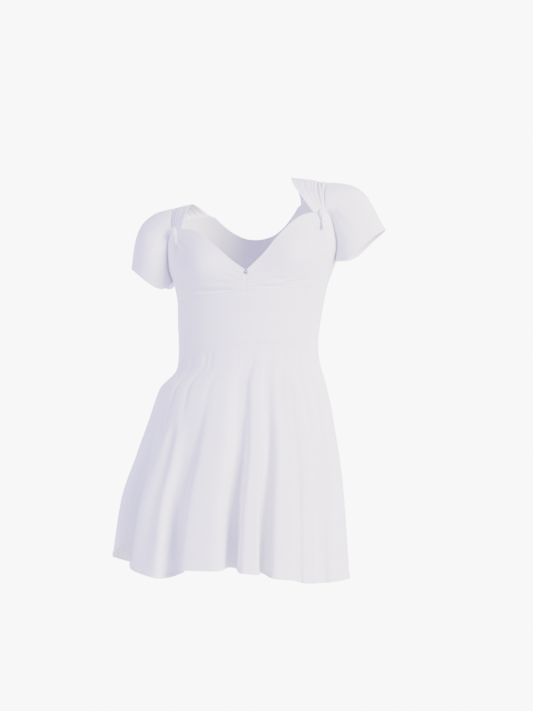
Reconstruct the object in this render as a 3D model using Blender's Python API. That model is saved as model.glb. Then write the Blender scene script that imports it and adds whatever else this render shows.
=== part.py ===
"""A short flared tennis dress in stretch knit, in the hollow form it has when worn.

The dress is drawn upright first: x across, y front to back, and level, the distance below
the shoulder tops. A table of rings gives the size of the body of the dress at each level.
The same table then sways and tips each ring sideways into its worn pose.
Angles run round the dress from the centre front, with +90 at the wearer's left side.
Sizes and levels are in millimetres and become metres as the meshes are made.
"""

import math
from collections import namedtuple
from functools import partial

import bmesh
import bpy
from mathutils import Vector

MM = 0.001

# Cloth and seams
CLOTH = 1.6
SEAM_GAP = 0.3
STEP = 0.25
SEAM_STEP = 1.0
SLEEVE_STEP = 0.004
SLEEVE_STAND = CLOTH + SEAM_GAP + 0.2

# Levels of the seams and edges
UNDERBUST_CENTRE = 168.0
UNDERBUST_SIDE = 176.0
WAIST_SIDE = 287.0
WAIST_FRONT_RISE = 30.0
HEM_SIDE = 667.0
HEM_FRONT_RISE = 35.0
HEM_BACK_RISE = 3.0
HEM_ARCH = 2.5

# Bust fullness
BUST_HALF_SPACING = 84.0
BUST_LEVEL = 114.0
BUST_FULLNESS = 22.0
BUST_WIDTH = 42.0
BUST_ABOVE = 46.0
BUST_BELOW = 30.0

# Knots, keyholes and stud
KNOT_ANGLE = 55.5
KNOT_LEVEL = 49.0
KNOT_SIZE = (11.0, 8.0, 17.0)
KNOT_BEDDING = 0.6
KEYHOLE_BOTTOM = 72.0
KEYHOLE_HALF_WIDTH = 1.3
STUD_LEVEL = 137.0
STUD_RADIUS = 3.5
STUD_HEIGHT = 2.4

# Body of the dress, ring by ring: sideways shift and tip of the pose, half width, depths
Ring = namedtuple("Ring", "name level shift roll half_width front back")
RINGS = [
    Ring("shoulder", 0, 0, 7.0, 143, 56, 66),
    Ring("strap foot", 26, 2, 7.0, 149, 72, 80),
    Ring("knot", 48, 3, 7.0, 152, 82, 90),
    Ring("chest", 75, 5, 7.0, 153, 90, 99),
    Ring("armhole", 105, 7, 6.7, 151, 95, 104),
    Ring("underarm", 136, 7, 6.4, 141, 98, 104),
    Ring("underbust", 172, 4, 6.2, 131, 93, 96),
    Ring("midriff", 215, 0, 6.0, 126, 88, 88),
    Ring("waist", 268, -3, 6.0, 122, 86, 82),
    Ring("waist seam", 290, -4, 5.8, 124, 90, 87),
    Ring("upper hip", 325, -15, 4.8, 143, 104, 106),
    Ring("hip", 383, -17, 3.0, 160, 122, 128),
    Ring("thigh", 444, -20, 1.0, 177, 139, 146),
    Ring("mid skirt", 530, -29, -0.6, 196, 157, 166),
    Ring("low skirt", 600, -32, -1.4, 204, 168, 178),
    Ring("hem", 665, -34, -2.0, 210, 176, 187),
]

# Top edge of the cups, from the point of the neckline to the knot and down the armhole
Edge = namedtuple("Edge", "angle level")
FRONT_TOP = [
    Edge(0, 132),
    Edge(9.8, 111),
    Edge(20.5, 83),
    Edge(32.5, 58),
    Edge(39, 50),
    Edge(48.6, 47),
    Edge(62, 48),
    Edge(69.5, 61),
    Edge(77, 98),
    Edge(82, 120),
    Edge(90, 136),
]

# Top edge of the upper back, from the armhole to the strap and down the scoop
BACK_TOP = [
    Edge(90, 136),
    Edge(98, 120),
    Edge(103, 98),
    Edge(109, 60),
    Edge(116, 36),
    Edge(126, 28),
    Edge(138, 25),
    Edge(148, 25),
    Edge(154, 38),
    Edge(162, 57),
    Edge(171, 71),
    Edge(180, 76),
]

# Skirt folds: crest, the trough after it, trough depth at the hem and how far below the waist
# seam it starts
Fold = namedtuple("Fold", "crest trough depth start")
FOLDS = [
    Fold(-152, -138, 46, 60),
    Fold(-121, -103, 42, 40),
    Fold(-84, -58.5, 54, 60),
    Fold(-40, -24, 44, 80),
    Fold(-9, 7, 56, 6),
    Fold(16, 23, 48, 10),
    Fold(33, 40.5, 4, 30),
    Fold(47, 55, 11, 4),
    Fold(77, 98, 46, 90),
    Fold(116, 131, 42, 25),
    Fold(147, 161, 52, 10),
    Fold(178, 192, 44, 40),
]
FOLD_GROWTH = 1.2
TROUGH_PINCH = 1.25
CREST_SPREAD = 0.55
WALL_STEEPNESS = 0.33

# Places where the hem hangs higher or lower than its plain curve
Lift = namedtuple("Lift", "angle height width")
HEM_LIFTS = [
    Lift(-66, 74, 15),
    Lift(-90, 16, 12),
    Lift(-29, -11, 10),
    Lift(76, 12, 20),
]

# Small tucks under the waist seam
TUCK_ANGLES = [-150, -128, -96, -47, -31, -25.5, 36, 43.5, 52, 84, 110, 137, 155, 171, 200]
TUCK_DEPTH = 1.6
TUCK_WIDTH = 2.2
TUCK_LENGTH = 60.0

# Creases of the cups, fanning from the gathers at the centre front
Crease = namedtuple("Crease", "slope start end depth")
CREASES = [
    Crease(0.16, 8, 66, 2.2),
    Crease(-0.10, 12, 46, 1.6),
    Crease(-0.42, 10, 52, 1.4),
    Crease(0.42, 6, 40, 1.2),
]
CREASE_CENTRE = 150.0
CREASE_WIDTH = 3.4

# Sleeve stations from the neck-side edge to the hem: where it joins the front and back edges,
# the half depth of its arch, and the crest over each shoulder and arm, as the wearer holds them
Station = namedtuple(
    "Station", "across front_angle back_angle half_depth left_x left_level right_x right_level"
)
STATIONS = [
    Station(0.00, 48.6, 148, 66.0, 73, -19, 102, 3),
    Station(0.20, 55.0, 134, 54.0, 104, -12, 119, 4),
    Station(0.40, 62.0, 119, 45.0, 136, -3, 137, 6),
    Station(0.55, 69.0, 110, 45.5, 164, 3, 162, 9),
    Station(0.68, 74.0, 105, 47.0, 183, 11, 181, 17),
    Station(0.78, 77.5, 102, 48.0, 198, 25, 195, 29),
    Station(0.87, 80.5, 99, 48.0, 210, 46, 205, 49),
    Station(0.94, 84.0, 96, 47.0, 219, 67, 212, 74),
    Station(1.00, 88.0, 92, 46.0, 229, 90, 217, 101),
]
ARM_CENTRE_Y = 4.0

# Where each sleeve's hem dips furthest, as an angle round the arm from its outer side
Arm = namedtuple("Arm", "name sign droop droop_turn droop_spread")
ARMS = [Arm("left", 1, 11.0, 108.0, 36.0), Arm("right", -1, 21.0, 122.0, 58.0)]

GATHER_COUNT = 5
GATHER_END = 0.42
GATHER_DEPTH = 1.5

# Colours and roughness
KNIT_COLOR = (0.86, 0.86, 0.9)
KNIT_ROUGHNESS = 0.8
STUD_COLOR = (0.8, 0.82, 0.9)
STUD_ROUGHNESS = 0.1

# How finely the pieces are drawn
SKIRT_COLUMNS = 72
SKIRT_ROWS = 11
CUP_ROWS = 11
BACK_COLUMNS = 28
BACK_ROWS = 9
MIDRIFF_COLUMNS = 22
MIDRIFF_ROWS = 6
SLEEVE_COLUMNS = 29
SLEEVE_ROWS = 19


def monotone_slopes(xs, ys):
    """Slopes that carry a smooth curve through the points without overshoot."""
    steps = [(ys[i + 1] - ys[i]) / (xs[i + 1] - xs[i]) for i in range(len(xs) - 1)]
    slopes = [steps[0]]
    for before, after in zip(steps, steps[1:]):
        same_way = before * after > 0
        slopes.append(2 * before * after / (before + after) if same_way else 0.0)
    slopes.append(steps[-1])
    return slopes


def smooth_curve(xs, ys):
    """A function that reads a smooth monotone curve through the points."""
    slopes = monotone_slopes(xs, ys)

    def read(x):
        x = min(max(x, xs[0]), xs[-1])
        i = 0
        while i < len(xs) - 2 and x > xs[i + 1]:
            i += 1
        width = xs[i + 1] - xs[i]
        s = (x - xs[i]) / width
        rise = ys[i + 1] - ys[i]
        bend = s * (1 - s) * ((1 - s) * (slopes[i] * width - rise) + s * (rise - slopes[i + 1] * width))
        return ys[i] + s * rise + bend

    return read


def column_curves(rows, key):
    """One smooth curve for each column of a table, read against its key column."""
    keys = [getattr(row, key) for row in rows]
    names = [name for name in rows[0]._fields if name not in (key, "name")]
    return {name: smooth_curve(keys, [getattr(row, name) for row in rows]) for name in names}


def fold_phase_curve():
    """Phase round the skirt: a whole turn at each crest, half a turn on at its trough."""
    angles = []
    phases = []
    for turn in (-1, 0, 1):
        for i, fold in enumerate(FOLDS):
            count = turn * len(FOLDS) + i
            angles += [fold.crest + 360 * turn, fold.trough + 360 * turn]
            phases += [2 * math.pi * count, 2 * math.pi * count + math.pi]
    return smooth_curve(angles, phases)


ring_at = column_curves(RINGS, "level")
station_at = column_curves(STATIONS, "across")
fold_phase = fold_phase_curve()
front_top = smooth_curve([e.angle for e in FRONT_TOP], [e.level for e in FRONT_TOP])
back_top = smooth_curve([e.angle for e in BACK_TOP], [e.level for e in BACK_TOP])


def bell(distance, width):
    return math.exp(-((distance / width) ** 2))


def ramp(value):
    value = min(max(value, 0.0), 1.0)
    return value * value * (3 - 2 * value)


def wrap(angle):
    return (angle + 180) % 360 - 180


def underbust_level(angle):
    return UNDERBUST_SIDE - (UNDERBUST_SIDE - UNDERBUST_CENTRE) * max(math.cos(math.radians(angle)), 0)


def waist_level(angle):
    front = max(math.cos(math.radians(angle)), 0)
    return WAIST_SIDE - WAIST_FRONT_RISE * front ** 1.5


def hem_level(angle):
    facing = math.cos(math.radians(angle))
    level = HEM_SIDE - (HEM_FRONT_RISE if facing > 0 else HEM_BACK_RISE) * abs(facing) ** HEM_ARCH
    for lift in HEM_LIFTS:
        level -= lift.height * bell(wrap(angle - lift.angle), lift.width)
    return level


def pose(x, y, level):
    """From the upright dress to its worn pose, swayed and tipped sideways."""
    roll = math.radians(ring_at["roll"](level))
    shift = ring_at["shift"](level)
    return Vector((shift + x * math.cos(roll), y, x * math.sin(roll) - level))


def ring_point(angle, level):
    """A point of the plain ring and the direction that faces out of it."""
    a = math.radians(angle)
    half_width = ring_at["half_width"](level)
    depth = ring_at["front" if math.cos(a) > 0 else "back"](level)
    point = Vector((half_width * math.sin(a), -depth * math.cos(a), 0))
    outward = Vector((math.sin(a) / half_width, -math.cos(a) / depth, 0)).normalized()
    return point, outward


def bust_fullness(x, level, facing):
    """How far the cups stand forward of the plain ring."""
    fall = BUST_ABOVE if level < BUST_LEVEL else BUST_BELOW
    across = bell(abs(x) - BUST_HALF_SPACING, BUST_WIDTH)
    return BUST_FULLNESS * across * bell(level - BUST_LEVEL, fall) * ramp(facing / 0.4)


def crease_depth(x, level, facing):
    """Hollows of the creases that fan out of the centre-front gathers."""
    depth = 0.0
    for crease in CREASES:
        reach = abs(x)
        line = CREASE_CENTRE + crease.slope * reach
        along = ramp((reach - crease.start) / 12) * ramp((crease.end - reach) / 22)
        depth += crease.depth * along * bell(level - line, CREASE_WIDTH + 0.03 * reach)
    return depth * ramp(facing / 0.3)


def body_point(angle, level):
    """A point of the cups, midriff and back, in the upright dress."""
    facing = math.cos(math.radians(angle))
    point, outward = ring_point(angle, level)
    forward = bust_fullness(point.x, level, facing)
    point -= outward * crease_depth(point.x, level, facing)
    return Vector((point.x, point.y - forward, level))


def skirt_point(angle, level):
    """A point of the skirt: the ring taken into deep round folds."""
    phase = fold_phase(angle)
    fold = FOLDS[math.floor(phase / (2 * math.pi)) % len(FOLDS)]
    seam = waist_level(angle)
    grown = max((level - seam - fold.start) / (hem_level(angle) - seam - fold.start), 0.0)
    per_phase = (fold_phase(angle + STEP) - fold_phase(angle - STEP)) / (2 * STEP)
    sway = CREST_SPREAD * math.sin(phase) + WALL_STEEPNESS * math.sin(2 * phase)
    point, outward = ring_point(angle + min(grown, 1) * sway / per_phase, level)
    hollow = ramp(((1 - math.cos(phase)) / 2) ** TROUGH_PINCH)
    inward = fold.depth * grown ** FOLD_GROWTH * hollow
    below = level - seam
    fade = ramp(below / 12) * ramp(1 - below / TUCK_LENGTH)
    for tuck in TUCK_ANGLES:
        inward += TUCK_DEPTH * fade * bell(wrap(angle - tuck), TUCK_WIDTH)
    point -= outward * inward
    return Vector((point.x, point.y, level))


def dress_point(angle, level):
    """A point of the whole dress below its top edges, in one piece through the waist seam."""
    return body_point(angle, level) if level < waist_level(angle) else skirt_point(angle, level)


def normal_of(surface, across, down, across_step, down_step):
    """Direction out of a surface, from short steps both ways along it."""
    right = surface(across + across_step, down) - surface(across - across_step, down)
    up = surface(across, down - down_step) - surface(across, down + down_step)
    return right.cross(up).normalized()


def upright_dress(angle, level):
    """The dress as a surface with z up, so that its normals can be taken."""
    point = dress_point(angle, level)
    return Vector((point.x, point.y, -point.z))


def join_point(angle, edge):
    """Where the sleeve starts: outside the edge that it is sewn to, clear of its wall."""
    level = edge(abs(angle))
    outward = normal_of(upright_dress, angle, level, STEP, STEP)
    outward.z = -outward.z
    return body_point(angle, level) + outward * SLEEVE_STAND


def gather_wave(across, along):
    """Gathers of the sleeve: raised near the knot, gone at the crest of the shoulder."""
    if across > GATHER_END:
        return 0.0
    edge_fade = ramp(across / 0.04) * ramp((GATHER_END - across) / 0.04)
    strength = ramp(along / 0.16) * ramp((0.46 - along) / 0.3)
    return GATHER_DEPTH * edge_fade * strength * math.cos(2 * math.pi * GATHER_COUNT * across / GATHER_END)


def sleeve_frame(arm, across, along):
    """A point of the smooth sleeve, across it and along its arch, as if on the wearer's left."""
    front = join_point(station_at["front_angle"](across), front_top)
    back = join_point(station_at["back_angle"](across), back_top)
    crest = Vector((station_at[arm.name + "_x"](across), 0, station_at[arm.name + "_level"](across)))
    foot = (front + back) / 2
    foot.y = 0
    half_span = (back.y - front.y) / 2
    half_depth = max(station_at["half_depth"](across), half_span + 0.5)
    reach = math.pi - math.asin(half_span / half_depth)
    rise = (crest - foot).normalized()
    radius = (crest - foot).length / (1 - math.cos(reach))
    centre = crest - rise * radius

    def arch(turn):
        point = centre + rise * radius * math.cos(turn)
        point.y = ARM_CENTRE_Y + half_depth * math.sin(turn)
        return point

    turn = (2 * along - 1) * reach
    near_end = (2 * along - 1) ** 2
    end, drawn = (front, arch(-reach)) if along < 0.5 else (back, arch(reach))
    point = arch(turn) + (end - drawn) * near_end
    dip = bell(abs(math.degrees(turn)) - arm.droop_turn, arm.droop_spread)
    point.z += arm.droop * across ** 4 * dip * (1 - near_end ** 4)
    return point


def sleeve_point(arm, across, along):
    """A point of the sleeve with its gathers, on the wearer's left."""
    point = sleeve_frame(arm, across, along)
    lift = gather_wave(across, along)
    if lift:
        point += normal_of(partial(sleeve_frame, arm), across, along, SLEEVE_STEP, SLEEVE_STEP) * lift
    return point


def surface_of(name, color, roughness):
    material = bpy.data.materials.new(name)
    material.use_nodes = True
    shader = material.node_tree.nodes["Principled BSDF"]
    shader.inputs["Base Color"].default_value = (*color, 1)
    shader.inputs["Roughness"].default_value = roughness
    shader.inputs["Metallic"].default_value = 0
    return material


def add_object(name, mesh_data, material):
    mesh = bpy.data.meshes.new(name)
    mesh_data.to_mesh(mesh)
    mesh_data.free()
    mesh.materials.append(material)
    piece = bpy.data.objects.new(name, mesh)
    bpy.context.scene.collection.objects.link(piece)
    return piece


def place_wall(vertex, inward, middle, outward):
    """Puts a point on the outer face of the cloth and keeps the way through to the inner one."""
    vertex.co = (middle + outward * (CLOTH / 2)) * MM
    vertex[inward] = outward * (-CLOTH * MM)


def finish_wall(name, sheet, inward):
    """Doubles a sheet through its thickness into one closed wall."""
    doubled = bmesh.ops.extrude_face_region(sheet, geom=sheet.faces[:], use_keep_orig=True)
    for vertex in doubled["geom"]:
        if isinstance(vertex, bmesh.types.BMVert):
            vertex.co += vertex[inward]
    bmesh.ops.recalc_face_normals(sheet, faces=sheet.faces[:])
    piece = add_object(name, sheet, surface_of(f"{name} knit", KNIT_COLOR, KNIT_ROUGHNESS))
    piece.data.shade_smooth()
    return piece


def even(start, end, count):
    return [start + (end - start) * i / (count - 1) for i in range(count)]


def posed_dress(angle, level):
    point = dress_point(angle, level)
    return pose(point.x, point.y, point.z)


def body_sheet(name, columns, count, top, bottom):
    """A panel of the dress between two edges, each set back by half a seam gap."""
    sheet = bmesh.new()
    inward = sheet.verts.layers.float_vector.new("inward")
    rows = even(0, 1, count)
    bmesh.ops.create_grid(sheet, x_segments=len(columns) - 1, y_segments=count - 1, size=1)
    for vertex in sheet.verts:
        angle = columns[round((vertex.co.x + 1) / 2 * (len(columns) - 1))]
        part = rows[round((1 - vertex.co.y) / 2 * (count - 1))]
        high = top(angle) + SEAM_GAP / 2
        low = bottom(angle) - SEAM_GAP / 2
        level = high + (low - high) * part
        outward = normal_of(posed_dress, angle, level, STEP, SEAM_STEP)
        place_wall(vertex, inward, posed_dress(angle, level), outward)
    return finish_wall(name, sheet, inward)


def side_gap(level):
    """Half a seam gap as an angle at the side seam."""
    return math.degrees(SEAM_GAP / 2 / ring_at["front"](level))


def centre_gap(level):
    """Half a seam gap as an angle at the centre front."""
    return math.degrees(SEAM_GAP / 2 / ring_at["half_width"](level))


def hem_columns(first, last, count):
    """Columns spaced by the length of the hem, so that steep fold walls get their share."""
    angles = even(first, last, 1200)
    points = [skirt_point(angle, hem_level(angle)) for angle in angles]
    travelled = [0.0]
    for before, after in zip(points, points[1:]):
        travelled.append(travelled[-1] + (after - before).length)
    share = [0.8 * t / travelled[-1] + 0.2 * i / 1199 for i, t in enumerate(travelled)]
    columns = []
    i = 0
    for wanted in even(0, 1, count):
        while i < len(share) - 1 and share[i] < wanted:
            i += 1
        columns.append(angles[i])
    columns[-1] = last
    return columns


def keyhole_top(angle):
    """Top edge of a cup, with the narrow keyhole notched into it under the knot."""
    open_part = max(1 - (abs(abs(angle) - KNOT_ANGLE) / KEYHOLE_HALF_WIDTH) ** 2, 0)
    edge = front_top(abs(angle))
    return edge + (KEYHOLE_BOTTOM - edge) * math.sqrt(open_part)


def make_skirt():
    gap = side_gap(WAIST_SIDE)
    for name, first, last in (("skirt_front", -90 + gap, 90 - gap), ("skirt_back", 90 + gap, 270 - gap)):
        columns = hem_columns(first, last, SKIRT_COLUMNS)
        body_sheet(name, columns, SKIRT_ROWS, waist_level, hem_level)


def make_midriff():
    gap = side_gap(WAIST_SIDE)
    for name, first, last in (("midriff_front", -90 + gap, 90 - gap), ("midriff_back", 90 + gap, 270 - gap)):
        columns = even(first, last, MIDRIFF_COLUMNS)
        body_sheet(name, columns, MIDRIFF_ROWS, underbust_level, waist_level)


def make_cups():
    gap = side_gap(UNDERBUST_SIDE)
    centre = centre_gap(UNDERBUST_CENTRE)
    keyhole = [KNOT_ANGLE + KEYHOLE_HALF_WIDTH * part for part in (-1.05, -0.95, -0.6, 0, 0.6, 0.95, 1.05)]
    columns = [centre] + even(4, 52, 14) + keyhole + even(59, 90 - gap, 11)
    for name, side in (("cup_left", 1), ("cup_right", -1)):
        angles = [side * angle for angle in columns][::side]
        body_sheet(name, angles, CUP_ROWS, keyhole_top, underbust_level)


def scoop_top(angle):
    return back_top(180 - abs(wrap(angle - 180)))


def make_back():
    gap = side_gap(UNDERBUST_SIDE)
    body_sheet("bodice_back", even(90 + gap, 270 - gap, BACK_COLUMNS), BACK_ROWS, scoop_top, underbust_level)


def make_sleeves():
    gathered = even(0, GATHER_END, 4 * GATHER_COUNT + 1)
    columns = gathered + even(GATHER_END, 1, SLEEVE_COLUMNS - len(gathered) + 1)[1:]
    for arm in ARMS:
        sheet = bmesh.new()
        inward = sheet.verts.layers.float_vector.new("inward")
        bmesh.ops.create_grid(sheet, x_segments=len(columns) - 1, y_segments=SLEEVE_ROWS - 1, size=1)
        for vertex in sheet.verts:
            across = columns[round((vertex.co.x + 1) / 2 * (len(columns) - 1))]
            along = (1 - vertex.co.y) / 2

            def place(across, along, arm=arm):
                point = sleeve_point(arm, across, along)
                return pose(arm.sign * point.x, point.y, point.z)

            outward = normal_of(place, across, along, SLEEVE_STEP, SLEEVE_STEP) * -arm.sign
            place_wall(vertex, inward, place(across, along), outward)
        finish_wall("sleeve_" + arm.name, sheet, inward)


def make_knots():
    """A small pad of twisted cloth over the gathers, its windings slanting across it."""
    for name, side in (("knot_left", 1), ("knot_right", -1)):
        knot = bmesh.new()
        bmesh.ops.create_uvsphere(knot, u_segments=16, v_segments=10, radius=1)
        width, depth, height = (size / 2 for size in KNOT_SIZE)
        outward = normal_of(upright_dress, side * KNOT_ANGLE, KNOT_LEVEL, STEP, STEP)
        stand = SLEEVE_STAND + CLOTH / 2 + SEAM_GAP + depth - KNOT_BEDDING
        facing = Vector((outward.x, outward.y, 0)).normalized()
        centre = body_point(side * KNOT_ANGLE, KNOT_LEVEL) + facing * stand
        middle = pose(centre.x, centre.y, centre.z)
        sideways = Vector((facing.y, -facing.x, 0))
        for vertex in knot.verts:
            ridge = 1 + 0.08 * math.cos(9 * (vertex.co.z + 0.5 * side * vertex.co.x))
            x, y, z = vertex.co * ridge
            offset = sideways * (x * width) + facing * (y * depth) + Vector((0, 0, z * height))
            vertex.co = (middle + offset) * MM
        piece = add_object(name, knot, surface_of(f"{name} knit", KNIT_COLOR, KNIT_ROUGHNESS))
        piece.data.shade_smooth()


def make_stud():
    """A faceted clear stud with a flat back, standing on the point of the neckline."""
    stud = bmesh.new()
    bmesh.ops.create_cone(
        stud, cap_ends=True, segments=12, radius1=STUD_RADIUS * MM, radius2=STUD_RADIUS * 0.5 * MM,
        depth=STUD_HEIGHT * MM,
    )
    outward = normal_of(upright_dress, 0, STUD_LEVEL, STEP, STEP)
    stand = CLOTH / 2 + SEAM_GAP + STUD_HEIGHT / 2
    centre = body_point(0, STUD_LEVEL) + Vector((outward.x, outward.y, -outward.z)) * stand
    piece = add_object("centre_stud", stud, surface_of("clear stud", STUD_COLOR, STUD_ROUGHNESS))
    piece.location = pose(centre.x, centre.y, centre.z) * MM
    piece.rotation_euler = outward.to_track_quat("Z", "Y").to_euler()


def clear_scene():
    for leftover in list(bpy.data.objects):
        bpy.data.objects.remove(leftover)


def main():
    clear_scene()
    make_skirt()
    make_midriff()
    make_cups()
    make_back()
    make_sleeves()
    make_knots()
    make_stud()


main()
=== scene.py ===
# A short flared tennis dress in white stretch knit, in the hollow form it has when worn.
# Sizes are millimetres and become metres as each piece is made. The dress is drawn upright first:
# angle runs round it from the centre front, +90 at the wearer's left side, and level is the
# distance below the shoulder tops. posed() then sways and tips it the way it is worn.
import math

import bmesh
import bpy
import numpy as np
from mathutils import Matrix, Vector


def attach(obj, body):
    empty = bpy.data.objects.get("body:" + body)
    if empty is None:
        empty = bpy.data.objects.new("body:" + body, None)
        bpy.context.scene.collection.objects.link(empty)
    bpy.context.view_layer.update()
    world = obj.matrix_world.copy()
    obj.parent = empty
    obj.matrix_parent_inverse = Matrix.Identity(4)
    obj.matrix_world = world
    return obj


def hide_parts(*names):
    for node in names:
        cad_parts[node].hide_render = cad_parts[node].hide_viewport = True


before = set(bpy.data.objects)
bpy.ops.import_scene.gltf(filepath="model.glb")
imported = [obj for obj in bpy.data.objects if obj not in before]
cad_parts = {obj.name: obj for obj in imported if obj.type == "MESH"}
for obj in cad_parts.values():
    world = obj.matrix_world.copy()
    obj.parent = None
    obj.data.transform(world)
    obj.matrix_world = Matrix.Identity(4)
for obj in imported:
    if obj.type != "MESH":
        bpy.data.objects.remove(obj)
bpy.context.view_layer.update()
print("frame loaded")

# Camera and room

view = {
    "mmPerPixel": 1.74,  # at the shoulders
    "shoulderPixel": (250, 195),  # where the middle of the two straps is in the photo
    "imageSize": (533, 711),
    "azimuth": 7.5,
    "elevation": 1.6,
    "distance": 3300,
    "sensor": 36,
}
room = {
    "floorLevel": -1420,
    "radius": 2250,  # ends just above the top of the photo's ground, so the camera sees none of it
    "paint": "#f6f6f8",
}
light = {
    "backdrop": ("#ffffff", 9.0),  # what the camera sees behind the dress
    "sky": ("#b9a8ff", 1.3),  # the soft lavender light all round
    "key": {"from": (2700, -2300, 1100), "size": 1500, "watts": 540, "hex": "#fff6e2"},
    "fill": {"from": (-2800, -2100, 700), "size": 2000, "watts": 165, "hex": "#ebe6ff"},
    "rim": {"from": (2500, 2300, 1400), "size": 1600, "watts": 250, "hex": "#fff6e2"},
    "backFill": {"from": (-2600, 2200, 600), "size": 2000, "watts": 120, "hex": "#ebe6ff"},
}


def linear(hexColour):
    # sRGB hex to the linear values that Blender's sockets hold
    channels = [int(hexColour[i:i + 2], 16) / 255 for i in (1, 3, 5)]
    return tuple(c / 12.92 if c <= 0.04045 else ((c + 0.055) / 1.055) ** 2.4 for c in channels)


def addNode(owner, kind, settings=None, inputs=None, links=None):
    # one node with its settings, its socket values and its links from other nodes' outputs
    node = owner.node_tree.nodes.new(kind)
    for key, value in (settings or {}).items():
        setattr(node, key, value)
    for socket, value in (inputs or {}).items():
        node.inputs[socket].default_value = value
    for socket, source in (links or {}).items():
        owner.node_tree.links.new(source, node.inputs[socket])
    return node


def newMaterial(name):
    material = bpy.data.materials.new(name)
    material.use_nodes = True
    material.node_tree.nodes.clear()
    return material


def finishMaterial(material, shader):
    addNode(material, "ShaderNodeOutputMaterial", links={"Surface": shader.outputs["BSDF"]})
    return material


def addCamera():
    azimuth, elevation = math.radians(view["azimuth"]), math.radians(view["elevation"])
    back = Vector((
        math.sin(azimuth) * math.cos(elevation),
        -math.cos(azimuth) * math.cos(elevation),
        math.sin(elevation),
    ))
    right = Vector((math.cos(azimuth), math.sin(azimuth), 0))
    width, height = view["imageSize"]
    acrossMm = (width / 2 - view["shoulderPixel"][0]) * view["mmPerPixel"]
    downMm = ((height - 1) / 2 - view["shoulderPixel"][1]) * view["mmPerPixel"]
    target = right * (acrossMm / 1000) + Vector((0, 0, -downMm / 1000))
    camera = bpy.data.objects.new("camera", bpy.data.cameras.new("camera"))
    camera.location = target + back * (view["distance"] / 1000)
    camera.rotation_euler = back.to_track_quat("Z", "Y").to_euler()
    camera.data.sensor_width = view["sensor"]
    camera.data.lens = view["sensor"] * view["distance"] / view["mmPerPixel"] / height
    camera.data.clip_end = 50
    bpy.context.scene.collection.objects.link(camera)
    bpy.context.scene.camera = camera


def addFloor():
    paint = newMaterial("matte floor paint")
    place = addNode(paint, "ShaderNodeTexCoord")
    grain = addNode(paint, "ShaderNodeTexNoise", inputs={"Scale": 140.0, "Detail": 2.0},
                    links={"Vector": place.outputs["Object"]})
    bump = addNode(paint, "ShaderNodeBump", inputs={"Strength": 0.1, "Distance": 0.0004},
                   links={"Height": grain.outputs["Fac"]})
    shader = addNode(paint, "ShaderNodeBsdfPrincipled", inputs={
        "Base Color": (*linear(room["paint"]), 1), "Roughness": 0.9,
    }, links={"Normal": bump.outputs["Normal"]})
    finishMaterial(paint, shader)
    disc = bmesh.new()
    bmesh.ops.create_circle(disc, cap_ends=True, segments=96, radius=room["radius"] / 1000)
    bmesh.ops.translate(disc, vec=(0, 0, room["floorLevel"] / 1000), verts=disc.verts[:])
    mesh = bpy.data.meshes.new("floor")
    disc.to_mesh(mesh)
    disc.free()
    mesh.materials.append(paint)
    floor = bpy.data.objects.new("floor", mesh)
    bpy.context.scene.collection.objects.link(floor)


def addLights():
    world = bpy.data.worlds.new("soft room light")
    bpy.context.scene.world = world
    world.use_nodes = True
    world.node_tree.nodes.clear()
    tones = [
        addNode(world, "ShaderNodeBackground", inputs={"Color": (*linear(colour), 1), "Strength": strength})
        for colour, strength in (light["sky"], light["backdrop"])
    ]
    ray = addNode(world, "ShaderNodeLightPath")
    seen = addNode(world, "ShaderNodeMixShader", links={
        0: ray.outputs["Is Camera Ray"],
        1: tones[0].outputs["Background"],
        2: tones[1].outputs["Background"],
    })
    addNode(world, "ShaderNodeOutputWorld", links={"Surface": seen.outputs["Shader"]})
    aim = Vector((0, 0, -0.33))
    for name in ("key", "fill", "rim", "backFill"):
        lamp = light[name]
        data = bpy.data.lights.new(name + " light", "AREA")
        data.size = lamp["size"] / 1000
        data.energy = lamp["watts"]
        data.color = linear(lamp["hex"])
        place = bpy.data.objects.new(name + " light", data)
        place.location = Vector(lamp["from"]) / 1000
        place.rotation_euler = (place.location - aim).to_track_quat("Z", "Y").to_euler()
        bpy.context.scene.collection.objects.link(place)


addCamera()
addFloor()
addLights()
print("camera, room and lights ready")

# The form of the dress, the same as its solids

form = {
    "cloth": 1.6,  # the solid's wall; the knit's outer face lies on its outer face
    "knit": 1.1,  # the wall that shows
    "underbustCentre": 168,
    "underbustSide": 176,
    "waistSide": 287,
    "waistFrontRise": 30,
    "hemSide": 667,
    "hemFrontRise": 35,
    "hemBackRise": 3,
    "hemArch": 2.5,
    "seamDip": 0.75,  # how far a seam pulls the cloth in
    "seamWidth": 1.5,
}
ringColumns = ("level", "shift", "roll", "halfWidth", "front", "back")
rings = [
    (0, 0, 7.0, 143, 56, 66),
    (26, 2, 7.0, 149, 72, 80),
    (48, 3, 7.0, 152, 82, 90),
    (75, 5, 7.0, 153, 90, 99),
    (105, 7, 6.7, 151, 95, 104),
    (136, 7, 6.4, 141, 98, 104),
    (172, 4, 6.2, 131, 93, 96),
    (215, 0, 6.0, 126, 88, 88),
    (268, -3, 6.0, 122, 86, 82),
    (290, -4, 5.8, 124, 90, 87),
    (325, -15, 4.8, 143, 104, 106),
    (383, -17, 3.0, 160, 122, 128),
    (444, -20, 1.0, 177, 139, 146),
    (530, -29, -0.6, 196, 157, 166),
    (600, -32, -1.4, 204, 168, 178),
    (665, -34, -2.0, 210, 176, 187),
]
# top edge of the cups: angle and level, from the point of the neckline to the underarm
frontEdge = [
    (0, 132), (9.8, 111), (20.5, 83), (32.5, 58), (39, 50), (48.6, 47), (62, 48), (69.5, 61),
    (77, 98), (82, 120), (90, 136),
]
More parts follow.
